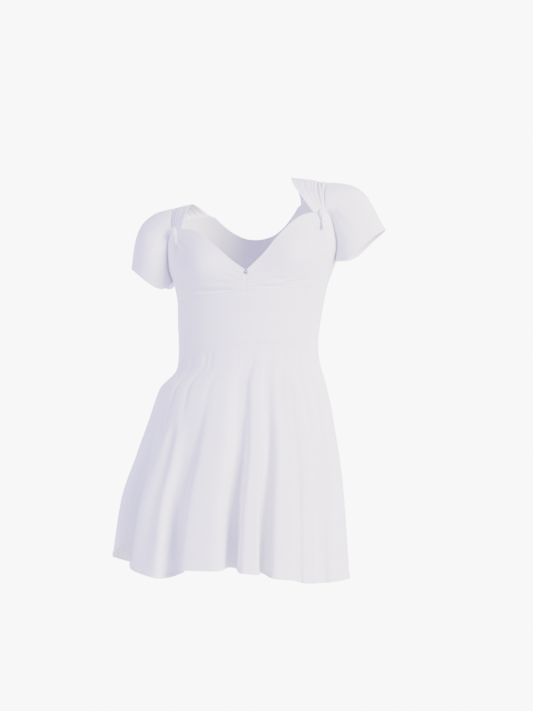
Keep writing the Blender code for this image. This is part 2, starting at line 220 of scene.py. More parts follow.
# top edge of the upper back, from the underarm over the strap and down the scoop
backEdge = [
    (90, 136), (98, 120), (103, 98), (109, 60), (116, 36), (126, 28), (138, 25), (148, 25),
    (154, 38), (162, 57), (171, 71), (180, 76),
]
bust = {"spacing": 84, "level": 114, "fullness": 22, "width": 42, "above": 46, "below": 30}


def smoothCurve(xs, ys):
    # a curve through the points that never overshoots them
    xs, ys = np.array(xs, float), np.array(ys, float)
    steps = np.diff(ys) / np.diff(xs)
    sameWay = steps[:-1] * steps[1:] > 0
    total = np.where(sameWay, steps[:-1] + steps[1:], 1)
    inner = np.where(sameWay, 2 * steps[:-1] * steps[1:] / total, 0)
    slopes = np.concatenate(([steps[0]], inner, [steps[-1]]))

    def read(x):
        x = np.clip(x, xs[0], xs[-1])
        i = np.clip(np.searchsorted(xs, x, side="right") - 1, 0, len(xs) - 2)
        width = xs[i + 1] - xs[i]
        rise = ys[i + 1] - ys[i]
        s = (x - xs[i]) / width
        bend = s * (1 - s) * ((1 - s) * (slopes[i] * width - rise) + s * (rise - slopes[i + 1] * width))
        return ys[i] + s * rise + bend

    return read


def bell(distance, width):
    return np.exp(-((distance / width) ** 2))


def ramp(value):
    value = np.clip(value, 0, 1)
    return value * value * (3 - 2 * value)


def wrapped(angle):
    return (angle + 180) % 360 - 180


def unit(vectors):
    return vectors / np.maximum(np.linalg.norm(vectors, axis=-1, keepdims=True), 1e-9)


ringAt = {
    name: smoothCurve([r[0] for r in rings], [r[i] for r in rings])
    for i, name in enumerate(ringColumns) if i
}
frontTop = smoothCurve(*zip(*frontEdge))
backTop = smoothCurve(*zip(*backEdge))


def underbustLevel(angle):
    drop = form["underbustSide"] - form["underbustCentre"]
    return form["underbustSide"] - drop * np.maximum(np.cos(np.radians(angle)), 0)


def waistLevel(angle):
    front = np.maximum(np.cos(np.radians(angle)), 0)
    return form["waistSide"] - form["waistFrontRise"] * front ** 1.5


def posed(point):
    # from the upright dress to its worn pose, swayed and tipped sideways
    x, y, level = point[..., 0], point[..., 1], point[..., 2]
    roll = np.radians(ringAt["roll"](level))
    return np.stack((ringAt["shift"](level) + x * np.cos(roll), y, x * np.sin(roll) - level), -1)


def ringPoint(angle, level):
    turn = np.radians(angle)
    halfWidth = ringAt["halfWidth"](level)
    depth = np.where(np.cos(turn) > 0, ringAt["front"](level), ringAt["back"](level))
    level = level + np.zeros_like(turn)
    point = np.stack((halfWidth * np.sin(turn), -depth * np.cos(turn), level), -1)
    outward = unit(np.stack((np.sin(turn) / halfWidth, -np.cos(turn) / depth, 0 * level), -1))
    return point, outward


def bodyPoint(angle, level):
    # cups, midriff and back in the upright dress: the ring with the bust's fullness in front
    facing = np.cos(np.radians(angle))
    point, _ = ringPoint(angle, level)
    fall = np.where(level < bust["level"], bust["above"], bust["below"])
    across = bell(np.abs(point[..., 0]) - bust["spacing"], bust["width"])
    point[..., 1] -= bust["fullness"] * across * bell(level - bust["level"], fall) * ramp(facing / 0.4)
    return point


# The skirt's folds, with their fall lines and the places where the hem hangs high or low

skirt = {
    "growth": 1.2,  # how late a fold deepens on its way down
    "crestSpread": 0.55,  # how far the crests widen over their troughs
    "wallSteepness": 0.33,
    "troughPinch": 1.25,  # how narrow the troughs are beside the crests
    "tuckDepth": 1.6,
    "tuckWidth": 2.2,
    "tuckLength": 60,
    "columns": 380,
    "rows": 112,
}
folds = [  # crest, the trough after it, trough depth at the hem, start below the waist seam
    (-152, -138, 46, 60),
    (-121, -103, 42, 40),
    (-84, -58.5, 54, 60),
    (-40, -24, 44, 80),
    (-9, 7, 56, 6),
    (16, 23, 48, 10),
    (33, 40.5, 4, 30),
    (47, 55, 11, 4),
    (77, 98, 46, 90),
    (116, 131, 42, 25),
    (147, 161, 52, 10),
    (178, 192, 44, 40),
]
hemLifts = [(-66, 74, 15), (-90, 16, 12), (-29, -11, 10), (76, 12, 20)]  # angle, height, width
tucks = [-150, -128, -96, -47, -31, -25.5, 36, 43.5, 52, 84, 110, 137, 155, 171, 200]
foldDepth = np.array([f[2] for f in folds], float)
foldStart = np.array([f[3] for f in folds], float)


def foldPhaseCurve():
    # a whole turn at each crest and half a turn on at the trough after it
    angles, phases = [], []
    for turn in (-1, 0, 1):
        for i, (crest, trough, _, _) in enumerate(folds):
            count = turn * len(folds) + i
            angles += [crest + 360 * turn, trough + 360 * turn]
            phases += [2 * math.pi * count, 2 * math.pi * count + math.pi]
    return smoothCurve(angles, phases)


foldPhase = foldPhaseCurve()


def hemLevel(angle):
    facing = np.cos(np.radians(angle))
    rise = np.where(facing > 0, form["hemFrontRise"], form["hemBackRise"])
    level = form["hemSide"] - rise * np.abs(facing) ** form["hemArch"]
    for centre, height, width in hemLifts:
        level = level - height * bell(wrapped(angle - centre), width)
    return level


def skirtPoint(angle, level):
    phase = foldPhase(angle)
    which = np.floor(phase / (2 * math.pi)).astype(int) % len(folds)
    seam = waistLevel(angle)
    start = foldStart[which]
    grown = np.maximum((level - seam - start) / (hemLevel(angle) - seam - start), 0)
    perPhase = (foldPhase(angle + 0.25) - foldPhase(angle - 0.25)) / 0.5
    sway = skirt["crestSpread"] * np.sin(phase) + skirt["wallSteepness"] * np.sin(2 * phase)
    point, outward = ringPoint(angle + np.minimum(grown, 1) * sway / perPhase, level)
    hollow = ramp(((1 - np.cos(phase)) / 2) ** skirt["troughPinch"])
    inward = foldDepth[which] * grown ** skirt["growth"] * hollow
    below = level - seam
    fade = ramp(below / 12) * ramp(1 - below / skirt["tuckLength"])
    for tuck in tucks:
        inward = inward + skirt["tuckDepth"] * fade * bell(wrapped(angle - tuck), skirt["tuckWidth"])
    point = point - outward * inward[..., None]
    point[..., 2] = level
    return point


def dressAt(angle, level):
    # the posed middle of the cloth, in one piece from the top edges to the hem
    below = (level >= waistLevel(angle))[..., None]
    return posed(np.where(below, skirtPoint(angle, level), bodyPoint(angle, level)))


def outwardOf(surface, across, down, acrossStep, downStep):
    right = surface(across + acrossStep, down) - surface(across - acrossStep, down)
    up = surface(across, down - downStep) - surface(across, down + downStep)
    return unit(np.cross(right, up))


bodyStep = (0.25, 1.0)  # degrees round and mm down, to find which way the body and skirt face
uprightStep = (0.25, 0.25)
sleeveStep = (0.004, 0.004)  # as shares of the sleeve

# Cloth pieces


def fineEnds(start, end, count, crowding=0.72):
    # steps that get finer towards both ends, for the seams and hems there
    t = np.linspace(0, 1, count)
    return start + (end - start) * (t - crowding * np.sin(2 * math.pi * t) / (2 * math.pi))


def runLengths(points):
    # distance of each point of a grid from its four edges, along the cloth
    downSteps = np.linalg.norm(np.diff(points, axis=0), axis=-1)
    acrossSteps = np.linalg.norm(np.diff(points, axis=1), axis=-1)
    top = np.concatenate((np.zeros((1, points.shape[1])), np.cumsum(downSteps, axis=0)))
    left = np.concatenate((np.zeros((points.shape[0], 1)), np.cumsum(acrossSteps, axis=1)), axis=1)
    return {"top": top, "bottom": top[-1:] - top, "left": left, "right": left[:, -1:] - left}


def addPiece(name, mesh, material, replaced=()):
    mesh.materials.append(material)
    mesh.shade_smooth()
    piece = bpy.data.objects.new(name, mesh)
    bpy.context.scene.collection.objects.link(piece)
    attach(piece, "root")
    if replaced:
        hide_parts(*replaced)
    return piece


def knitPiece(name, node, across, down, outerFace, material):
    # a grid laid on the outer face point by point, its UV map in metres along the cloth
    face, edges = outerFace(*np.meshgrid(across, down))
    grid = bmesh.new()
    grid.loops.layers.uv.new("weave")
    bmesh.ops.create_grid(grid, x_segments=len(across) - 1, y_segments=len(down) - 1, size=1, calc_uvs=True)
    mesh = bpy.data.meshes.new(name)
    grid.to_mesh(mesh)
    grid.free()
    flat = np.empty(len(mesh.vertices) * 3)
    mesh.vertices.foreach_get("co", flat)
    flat = flat.reshape(-1, 3)
    column = np.rint((flat[:, 0] + 1) / 2 * (len(across) - 1)).astype(int)
    row = np.rint((1 - flat[:, 1]) / 2 * (len(down) - 1)).astype(int)
    mesh.vertices.foreach_set("co", (face[row, column] / 1000).ravel())
    middle = edges["left"][:, len(across) // 2][:, None]
    weave = np.stack((edges["left"] - middle, -edges["top"]), -1) / 1000
    corners = np.empty(len(mesh.loops), int)
    mesh.loops.foreach_get("vertex_index", corners)
    mesh.uv_layers["weave"].data.foreach_set("uv", weave[row, column][corners].ravel())
    mesh.update()
    piece = addPiece(name, mesh, material, replaced=[node])
    wall = piece.modifiers.new("wall of the knit", "SOLIDIFY")
    wall.thickness = form["knit"] / 1000
    wall.offset = -1
    wall.use_rim = True
    sides = face[1:, :-1] - face[:-1, :-1], face[:-1, 1:] - face[:-1, :-1]
    area = np.linalg.norm(np.cross(*sides), axis=-1).sum()
    print(name, "cloth area", round(area / 1e6, 4), "m2, across the middle",
          round(edges["left"][len(down) // 2, -1]), "mm, down the middle",
          round(edges["top"][-1, len(across) // 2]), "mm, widest", round(edges["left"][:, -1].max()), "mm")
    return piece


def panelFace(top, bottom, relief, drawn=None):
    # outer face of a panel of the body or skirt, from its edges and what is raised or sunk on it
    def outerFace(angle, part):
        high, low = top(angle), bottom(angle)
        level = high + (low - high) * part
        if drawn:
            angle = drawn(angle, level)
        middle = dressAt(angle, level)
        edges = runLengths(middle)
        height = form["cloth"] / 2 + relief(angle, level, edges)
        return middle + outwardOf(dressAt, angle, level, *bodyStep) * height[..., None], edges

    return outerFace


def seamPull(distance):
    # the cloth turns in at a seam
    return -form["seamDip"] * bell(distance, form["seamWidth"])


def hemBand(distance, width, lift=0.45):
    # the turned-up layer stands a little proud, with a groove under its row of stitches
    return lift * (ramp((width + 0.8 - distance) / 1.6) - 0.9 * bell(distance - width + 1.2, 0.8))


def softWave(along, across, count, phase, drift):
    # uneven ripples: two waves whose lengths don't divide each other
    turn = 2 * math.pi * (count * across + phase)
    return np.sin(turn + drift * along) * 0.65 + np.sin(1.618 * turn - 1.3 * drift * along + 1) * 0.35


knit = {
    "yarn": "#e8e7f1",
    "shade": "#dedcea",
    "thread": "#eeedf5",
    "wale": 1.8,  # mm between ribs of loops, drawn coarse: the real 0.5 mm would not show
    "course": 1.4,
    "bumpDepth": 0.25,
    "mottle": 38,  # noise waves in a metre
}


def makeKnitMaterial():
    # polyester and elastane jersey, knitted in fine columns of loops: matte, with a faint fuzz that
    # brightens where the cloth turns away
    material = newMaterial("white stretch jersey knit")
    uv = addNode(material, "ShaderNodeUVMap", {"uv_map": "weave"})
    perMetre = 1000 / knit["wale"], 1000 / knit["course"]
    loops = addNode(material, "ShaderNodeMapping", links={"Vector": uv.outputs["UV"]})
    loops.inputs["Scale"].default_value = (perMetre[0] / 10, perMetre[1] / 10, 1)
    waves = [  # the ribs of loops and the rows across them
        addNode(material, "ShaderNodeTexWave", {"bands_direction": direction},
                {"Scale": math.pi, "Distortion": wobble, "Detail": 0.0},
                {"Vector": loops.outputs["Vector"]})
        for direction, wobble in (("X", 0.35), ("Y", 0.5))
    ]
    stitches = addNode(material, "ShaderNodeMath", {"operation": "MULTIPLY"},
                       links={0: waves[0].outputs["Fac"], 1: waves[1].outputs["Fac"]})
    place = addNode(material, "ShaderNodeTexCoord")
    mottle = addNode(material, "ShaderNodeTexNoise", inputs={
        "Scale": knit["mottle"], "Detail": 3.0, "Roughness": 0.6,
    }, links={"Vector": place.outputs["Object"]})
    tone = addNode(material, "ShaderNodeMix", {"data_type": "RGBA"},
                   {"A": (*linear(knit["yarn"]), 1), "B": (*linear(knit["shade"]), 1)})
    blend = addNode(material, "ShaderNodeMapRange", inputs={
        "From Min": 0.35, "From Max": 0.8, "To Min": 0.0, "To Max": 0.35,
    }, links={"Value": mottle.outputs["Fac"]})
    material.node_tree.links.new(blend.outputs["Result"], tone.inputs["Factor"])
    bump = addNode(material, "ShaderNodeBump", inputs={
        "Strength": 0.35, "Distance": knit["bumpDepth"] / 1000,
    }, links={"Height": stitches.outputs["Value"]})
    shader = addNode(material, "ShaderNodeBsdfPrincipled", inputs={
        "Roughness": 0.78, "IOR": 1.5, "Specular IOR Level": 0.25,
        "Sheen Weight": 0.25, "Sheen Roughness": 0.4,
    }, links={"Base Color": tone.outputs["Result"], "Normal": bump.outputs["Normal"]})
    return finishMaterial(material, shader)


def makeThreadMaterial():
    # spun polyester sewing thread: a little brighter and smoother than the knit
    material = newMaterial("white polyester thread")
    place = addNode(material, "ShaderNodeTexCoord")
    twist = addNode(material, "ShaderNodeTexWave", {"bands_direction": "DIAGONAL"},
                    {"Scale": 900.0, "Distortion": 0.2}, {"Vector": place.outputs["Object"]})
    bump = addNode(material, "ShaderNodeBump", inputs={"Strength": 0.3, "Distance": 0.00005},
                   links={"Height": twist.outputs["Fac"]})
    shader = addNode(material, "ShaderNodeBsdfPrincipled", inputs={
        "Base Color": (*linear(knit["thread"]), 1), "Roughness": 0.55, "Sheen Weight": 0.1,
    }, links={"Normal": bump.outputs["Normal"]})
    return finishMaterial(material, shader)


knitMaterial = makeKnitMaterial()
threadMaterial = makeThreadMaterial()


def stitchRow(name, path, outward, pitch=3.0, length=2.2, thickness=0.42):
    # one small rounded stitch after another along a line on the cloth
    steps = np.linalg.norm(np.diff(path, axis=0), axis=-1)
    travelled = np.concatenate(([0], np.cumsum(steps)))
    spots = np.arange(pitch / 2, travelled[-1] - pitch / 2, pitch)
    centre = np.stack([np.interp(spots, travelled, path[:, k]) for k in range(3)], -1)
    ahead = np.stack([np.interp(spots + 0.4, travelled, path[:, k]) for k in range(3)], -1)
    normal = unit(np.stack([np.interp(spots, travelled, outward[:, k]) for k in range(3)], -1))
    along = unit(ahead - centre)
    side = np.cross(normal, along)
    row = bmesh.new()
    for i in range(len(spots)):
        shape = np.eye(4)
        shape[:3, 0] = along[i] * length / 2000
        shape[:3, 1] = side[i] * thickness / 2000
        shape[:3, 2] = normal[i] * thickness / 2000
        shape[:3, 3] = centre[i] / 1000
        bmesh.ops.create_icosphere(row, subdivisions=1, radius=1, matrix=Matrix(shape))
    mesh = bpy.data.meshes.new(name)
    row.to_mesh(mesh)
    row.free()
    return addPiece(name, mesh, threadMaterial)


def pathOnPanel(angles, levels, lift):
    # a line on the outer face of the body or skirt, lifted clear of the cloth's relief
    middle = dressAt(angles, levels)
    outward = outwardOf(dressAt, angles, levels, *bodyStep)
    return middle + outward * (form["cloth"] / 2 + lift), outward


def stepsAlong(path, values, count):
    # the values re-spaced so that the path through them has even steps
    travelled = np.concatenate(([0], np.cumsum(np.linalg.norm(np.diff(path, axis=0), axis=-1))))
    return np.interp(np.linspace(0, travelled[-1], count), travelled, values)


# Skirt: ripples between the main folds, as angle, start and end below the waist seam, depth, width

ripples = [
    (-165, 20, 260, 2.0, 3.0), (-146, 60, 300, 2.0, 2.8), (-132, 30, 200, 1.6, 2.4), (-112, 20, 280, 2.2, 3.0),
    (-96, 30, 230, 1.8, 2.8), (-78, 40, 260, 1.6, 2.6), (-52, 60, 330, 2.2, 3.0), (-46, 25, 210, 3.0, 2.4),
    (-39, 110, 410, 5.0, 2.8), (-33, 15, 200, 1.4, 2.2), (-17, 30, 210, 1.3, 2.6), (-2, 8, 90, 1.4, 1.6),
    (35, 20, 250, 2.4, 3.2), (41, 40, 330, 2.0, 2.2), (50, 10, 180, 1.6, 2.4), (66, 30, 300, 2.2, 3.0),
    (84, 20, 220, 1.8, 2.6), (104, 30, 240, 1.8, 2.6), (123, 50, 310, 1.8, 2.6), (139, 20, 200, 1.6, 2.4),
    (154, 40, 280, 2.2, 3.0), (169, 30, 230, 1.8, 2.4), (186, 20, 250, 1.6, 2.6),
]
hem = {"band": 8.5, "bandLift": 0.75, "stitchAbove": 7.2}


def skirtRelief(angle, level, edges):
    below = level - waistLevel(angle)
    height = seamPull(edges["top"]) + seamPull(edges["left"]) + seamPull(edges["right"])
    height = height + hemBand(edges["bottom"], hem["band"], hem["bandLift"])
    for centre, start, end, depth, width in ripples:
        reach = ramp((below - start) / 40) * ramp((end - below) / 90)
        spread = width * (0.8 + 0.6 * below / end)
        line = centre + 0.9 * np.sin(below / 70 + centre)
        height = height - depth * reach * bell(wrapped(angle - line), spread)
    pucker = softWave(below, angle / 360, 96, 0.2, 0.02)
    height = height + 0.28 * pucker * bell(edges["bottom"] - 4, 9)
    height = height + 0.22 * softWave(below, angle / 360, 150, 0.6, 0.05) * bell(edges["top"] - 4, 8)
    return height


def makeSkirt():
    pieces = []
    for name, node, first, last in (
        ("skirtFront", "skirt_front", -90, 90), ("skirtBack", "skirt_back", 90, 270),
    ):
        coarse = np.linspace(first, last, 2000)
        atHem = stepsAlong(skirtPoint(coarse, hemLevel(coarse)), coarse, skirt["columns"])
        even = np.linspace(first, last, skirt["columns"])
        across = 0.8 * atHem + 0.2 * even
        down = fineEnds(0, 1, skirt["rows"])
        outerFace = panelFace(waistLevel, hemLevel, skirtRelief)
        piece = knitPiece(name, node, across, down, outerFace, knitMaterial)
        angles = stepsAlong(skirtPoint(coarse, hemLevel(coarse)), coarse, 1400)[4:-4]
        path, outward = pathOnPanel(angles, hemLevel(angles) - hem["stitchAbove"], 0.12)
        row = stitchRow(name + "HemStitches", path, outward)
        pieces.append((piece, row))
    return pieces


skirtPieces = makeSkirt()
print("skirt made")

# Midriff: smooth and stretched, with faint drag lines at the sides of the waist

midriff = {"columns": 180, "rows": 56}
dragLines = [  # angle and level of the middle, half length in degrees, slope, depth, width
    (-62, 232, 26, 0.10, 0.9, 5), (-66, 256, 22, -0.05, 0.8, 4), (60, 238, 24, -0.08, 0.8, 5),
    (64, 214, 20, 0.10, 0.6, 4), (-30, 262, 18, 0.16, 0.5, 4), (120, 236, 26, 0.08, 0.9, 5),
    (-118, 250, 24, -0.08, 0.9, 5), (150, 262, 22, 0.05, 0.8, 4), (200, 240, 26, -0.06, 0.8, 5),
]


def midriffRelief(angle, level, edges):
    height = sum(seamPull(edges[side]) for side in ("top", "bottom", "left", "right"))
    for centre, middle, reach, slope, depth, width in dragLines:
        away = wrapped(angle - centre)
        height = height - depth * bell(away, reach) * bell(level - middle - slope * away, width)
    return height


def makeMidriff():
    pieces = []
    outerFace = panelFace(underbustLevel, waistLevel, midriffRelief)
    for name, node, first, last in (
        ("midriffFront", "midriff_front", -90, 90), ("midriffBack", "midriff_back", 90, 270),
    ):
        across = fineEnds(first, last, midriff["columns"])
        down = fineEnds(0, 1, midriff["rows"])
        pieces.append(knitPiece(name, node, across, down, outerFace, knitMaterial))
    return pieces


midriffPieces = makeMidriff()
print("midriff made")

# Cups: fullness gathered into the centre front and into the shoulder knot, with a small keyhole

cup = {
    "columns": 190,
    "rows": 96,
    "knotAngle": 55.5,
    "keyholeHalfWidth": 3.0,
    "keyholeBottom": {-1: 70, 1: 79},  # by side: the knot on the wearer's right is drawn higher
    "keyholeClosed": {-1: 62, 1: 71},  # above this level its sides are drawn together
    "edgeBand": 5.0,
}
cupCreases = {  # start and end as distance from the centre front and level, depth, width, bow
    -1: [
        (8, 163, 114, 150, 2.6, 3.4, 3), (28, 151, 62, 147, 1.2, 2.6, -2), (16, 156, 50, 158, 0.8, 2.2, 2),
        (12, 147, 40, 138, 0.7, 2.2, -2), (8, 140, 30, 124, 0.5, 2.0, -1), (66, 167, 104, 164, 1.2, 2.6, 2),
    ],
    1: [
        (16, 160, 104, 166, 2.6, 3.4, 3), (34, 153, 70, 154, 1.2, 2.6, -2), (14, 154, 40, 149, 0.8, 2.2, 2),
        (12, 146, 38, 136, 0.7, 2.2, -2), (8, 139, 28, 122, 0.5, 2.0, -1), (58, 160, 110, 154, 1.6, 3.0, 2),
    ],
}
knotCreases = [
    (0, 62, 9, 112, 1.4, 3.2, 4), (0, 60, -8, 100, 1.2, 3.0, -4),
    (3, 58, 22, 92, 0.9, 2.6, 3), (-3, 58, -20, 84, 0.9, 2.6, -3),
]


def creaseHeight(x, y, creases):
    # soft troughs along bowed lines, each with a low ridge on either side
    height = 0
    for x0, y0, x1, y1, depth, width, bow in creases:
        dx, dy = x1 - x0, y1 - y0
        length = math.hypot(dx, dy)
        along = ((x - x0) * dx + (y - y0) * dy) / length ** 2
        off = ((y - y0) * dx - (x - x0) * dy) / length - bow * 4 * along * (1 - along)
        reach = ramp(along / 0.25) * ramp((1 - along) / 0.35)
        spread = width * (0.5 + np.clip(along, 0, 1))
        height = height - depth * reach * (bell(off, spread) - 0.3 * bell(np.abs(off) - 2 * spread, spread))
    return height


def keyholeTop(angle):
    # top edge of a cup with the narrow keyhole notched into it under the knot
    away = (np.abs(np.abs(angle) - cup["knotAngle"]) / cup["keyholeHalfWidth"]) ** 2
    edge = frontTop(np.abs(angle))
    bottom = np.where(angle > 0, cup["keyholeBottom"][1], cup["keyholeBottom"][-1])
    return edge + (bottom - edge) * np.sqrt(np.maximum(1 - away, 0))


def cupRelief(side):
    def relief(angle, level, edges):
        x = np.abs(bodyPoint(angle, level)[..., 0])
        knotX = 152 * math.sin(math.radians(cup["knotAngle"]))
        height = creaseHeight(x, level, cupCreases[side]) * ramp(edges["bottom"] / 7)
        height = height + creaseHeight(x - knotX, level, knotCreases)
        centre, sideSeam = ("left", "right") if side > 0 else ("right", "left")
        height = height + seamPull(edges["bottom"]) + seamPull(edges[centre]) + seamPull(edges[sideSeam])
        gathers = np.sin(level * 1.05 + 0.02 * x * side) * ramp((level - 134) / 8) * bell(x, 17)
        height = height + 0.45 * gathers
        fromEdge = level - frontTop(np.abs(angle))
        height = height + hemBand(fromEdge, cup["edgeBand"], 0.3)
        return height

    return relief


def drawnTogether(angle, level):
    # closes the slit above the keyhole, so that a small drop-shaped hole is left
    side = np.sign(angle)
    away = angle - side * cup["knotAngle"]
    closed = np.where(side > 0, cup["keyholeClosed"][1], cup["keyholeClosed"][-1])
    pull = 0.88 * bell(away, 4.0) * ramp((closed + 6 - level) / 12)
    return angle - away * pull


def makeCups():
    pieces = []
    notchSteps = np.concatenate(([-1.2], np.sin(np.radians(np.linspace(-90, 90, 65))), [1.2]))
    notch = cup["knotAngle"] + cup["keyholeHalfWidth"] * notchSteps
    inner = fineEnds(0, notch[0], cup["columns"] * 6 // 10)[:-1]
    outer = fineEnds(notch[-1], 90, cup["columns"] * 3 // 10)[1:]
    columns = np.concatenate((inner, notch, outer))
    down = fineEnds(0, 1, cup["rows"])
    for name, node, side in (("cupLeft", "cup_left", 1), ("cupRight", "cup_right", -1)):
        across = columns if side > 0 else -columns[::-1]
        outerFace = panelFace(keyholeTop, underbustLevel, cupRelief(side), drawnTogether)
        piece = knitPiece(name, node, across, down, outerFace, knitMaterial)
        angles = side * np.linspace(1.5, 50, 400)
        path, outward = pathOnPanel(angles, frontTop(np.abs(angles)) + cup["edgeBand"], 0.05)
        row = stitchRow(name + "EdgeStitches", path, outward, pitch=2.6, length=1.9, thickness=0.36)
        pieces.append((piece, row))
    return pieces


cupPieces = makeCups()
print("cups made")

# Upper back: one stretched panel with a scooped top edge

upperBack = {"columns": 220, "rows": 90, "edgeBand": 6.0}
backDrags = [
    (112, 96, 20, 0.35, 0.9, 5), (248, 100, 20, -0.35, 0.9, 5), (135, 128, 26, 0.12, 0.8, 6),
    (222, 140, 28, -0.10, 0.9, 6), (180, 156, 34, 0.02, 0.6, 6), (165, 108, 18, 0.2, 0.5, 5),
]


def scoopTop(angle):
    return backTop(180 - np.hypot(wrapped(angle - 180), 4))


def backRelief(angle, level, edges):
    height = seamPull(edges["bottom"]) + seamPull(edges["left"]) + seamPull(edges["right"])
    for centre, middle, reach, slope, depth, width in backDrags:
        away = wrapped(angle - centre)
        height = height - depth * bell(away, reach) * bell(level - middle - slope * away, width)
    return height + hemBand(edges["top"], upperBack["edgeBand"], 0.3)


def makeBack():
    across = fineEnds(90, 270, upperBack["columns"])
    down = fineEnds(0, 1, upperBack["rows"])
    outerFace = panelFace(scoopTop, underbustLevel, backRelief)
    piece = knitPiece("upperBack", "bodice_back", across, down, outerFace, knitMaterial)
    angles = np.linspace(150, 210, 500)
    path, outward = pathOnPanel(angles, scoopTop(angles) + upperBack["edgeBand"], 0.05)
    row = stitchRow("upperBackEdgeStitches", path, outward, pitch=2.6, length=1.9, thickness=0.36)
    return piece, row


backPiece = makeBack()
print("upper back made")

# Sleeves: strap and cap in one piece, gathered into the knot, one station row across from the neck

sleeve = {
    "stand": 0.9,  # the sleeve's edge lies half sunk in the edge that it is sewn to
    "armCentre": 4.0,
    "gatherCount": 5,
    "gatherEnd": 0.42,  # the gathered strap is this share of the way from the neck to the hem
    "gatherDepth": 1.5,
    "columns": 190,
    "rows": 130,
    "hemBand": 7.0,
}
arms = {  # side, droop of the hem, where it droops most round the arm, how wide
    "left": (1, 11, 108, 36),
    "right": (-1, 21, 122, 58),
}
stationColumns = (
    "across", "frontAngle", "backAngle", "halfDepth", "leftX", "leftLevel", "rightX", "rightLevel",
)
stations = [
    (0.00, 48.6, 148, 66, 73, -19, 102, 3),
    (0.20, 55, 134, 54, 104, -12, 119, 4),
    (0.40, 62, 119, 45, 136, -3, 137, 6),
    (0.55, 69, 110, 45.5, 164, 3, 162, 9),
    (0.68, 74, 105, 47, 183, 11, 181, 17),
    (0.78, 77.5, 102, 48, 198, 25, 195, 29),
    (0.87, 80.5, 99, 48, 210, 46, 205, 49),
    (0.94, 84, 96, 47, 219, 67, 212, 74),
    (1.00, 88, 92, 46, 229, 90, 217, 101),
]
stationAt = {
    name: smoothCurve([s[0] for s in stations], [s[i] for s in stations])
    for i, name in enumerate(stationColumns) if i
}


def uprightBody(angle, level):
    # the body before it is posed, with height up instead of level down
    point = bodyPoint(angle, level)
    point[..., 2] *= -1
    return point


def joinPoint(angle, edge):
    # where the sleeve starts, just outside the edge that it is sewn to
    level = edge(np.abs(angle))
    outward = outwardOf(uprightBody, angle, level, *uprightStep)
    outward[..., 2] *= -1
    return bodyPoint(angle, level) + outward * sleeve["stand"]


def sleeveForm(arm, across, along):
    side, droop, droopTurn, droopSpread = arms[arm]
    front = joinPoint(stationAt["frontAngle"](across), frontTop)
    back = joinPoint(stationAt["backAngle"](across), backTop)
    level = stationAt[arm + "Level"](across)
    crest = np.stack((stationAt[arm + "X"](across), 0 * level, level), -1)
    foot = (front + back) / 2
    foot[..., 1] = 0
    halfSpan = (back[..., 1] - front[..., 1]) / 2
    halfDepth = np.maximum(stationAt["halfDepth"](across), halfSpan + 0.5)
    reach = math.pi - np.arcsin(halfSpan / halfDepth)
    height = np.linalg.norm(crest - foot, axis=-1)
    rise = (crest - foot) / height[..., None]
    radius = height / (1 - np.cos(reach))
    centre = crest - rise * radius[..., None]

    def arch(turn):
        point = centre + rise * (radius * np.cos(turn))[..., None]
        point[..., 1] = sleeve["armCentre"] + halfDepth * np.sin(turn)
        return point

    turn = (2 * along - 1) * reach
    nearEnd = (2 * along - 1) ** 2
    atFront = (along < 0.5)[..., None]
    miss = np.where(atFront, front - arch(-reach), back - arch(reach))
    point = arch(turn) + miss * nearEnd[..., None]
    dip = bell(np.abs(np.degrees(turn)) - droopTurn, droopSpread)
    point[..., 2] += droop * across ** 4 * dip * (1 - nearEnd ** 4)
    return point


pleats = [(0.25, 1.2), (0.288, 3.4), (0.345, 3.8), (0.398, 2.4)]  # across and depth of the sharpest gathers


def gatherHeight(across, along):
    # the solid's gathers, low beside the neck, with finer ones between them and four sharp pleats
    t = across / sleeve["gatherEnd"]
    edgeFade = ramp(across / 0.04) * ramp((sleeve["gatherEnd"] - across) / 0.04)
    front = ramp(along / 0.16) * ramp((0.46 - along) / 0.3)
    back = ramp((1 - along) / 0.1) * ramp((along - 0.62) / 0.3)
    wave = np.cos(2 * math.pi * sleeve["gatherCount"] * t)
    sharp = wave - 0.35 * np.cos(4 * math.pi * sleeve["gatherCount"] * t)
    fine = np.cos(2 * math.pi * 2.6 * sleeve["gatherCount"] * t + 1)
    strength = 0.45 + 0.55 * ramp((across - 0.1) / 0.12)
    inFront = front * strength * (sleeve["gatherDepth"] * sharp + 0.3 * fine)
    height = edgeFade * (inFront + back * (0.7 * wave + 0.25 * fine))
    reach = ramp(along / 0.08) * ramp((0.6 - along) / 0.2)
    for centre, depth in pleats:
        line = centre + 0.012 * np.sin(7 * along + 40 * centre)
        height = height - depth * reach * bell(across - line, 0.0115)
    return height


capFolds = [  # across and along at the start and end, depth, width: soft hollows over the cap
    (0.46, 0.10, 0.80, 0.30, 1.6, 0.030), (0.52, 0.08, 0.92, 0.22, 1.3, 0.026),
    (0.50, 0.20, 0.90, 0.42, 1.2, 0.034), (0.50, 0.90, 0.85, 0.70, 1.4, 0.030),
    (0.55, 0.80, 0.92, 0.58, 1.1, 0.034),
]


def capHeight(across, along):
    height = 0
    for a0, l0, a1, l1, depth, width in capFolds:
        da, dl = a1 - a0, l1 - l0
        t = ((across - a0) * da + (along - l0) * dl) / (da * da + dl * dl)
        off = ((along - l0) * da - (across - a0) * dl) / math.hypot(da, dl)
        height = height - depth * ramp(t / 0.3) * ramp((1 - t) / 0.5) * bell(off, width)
    return height


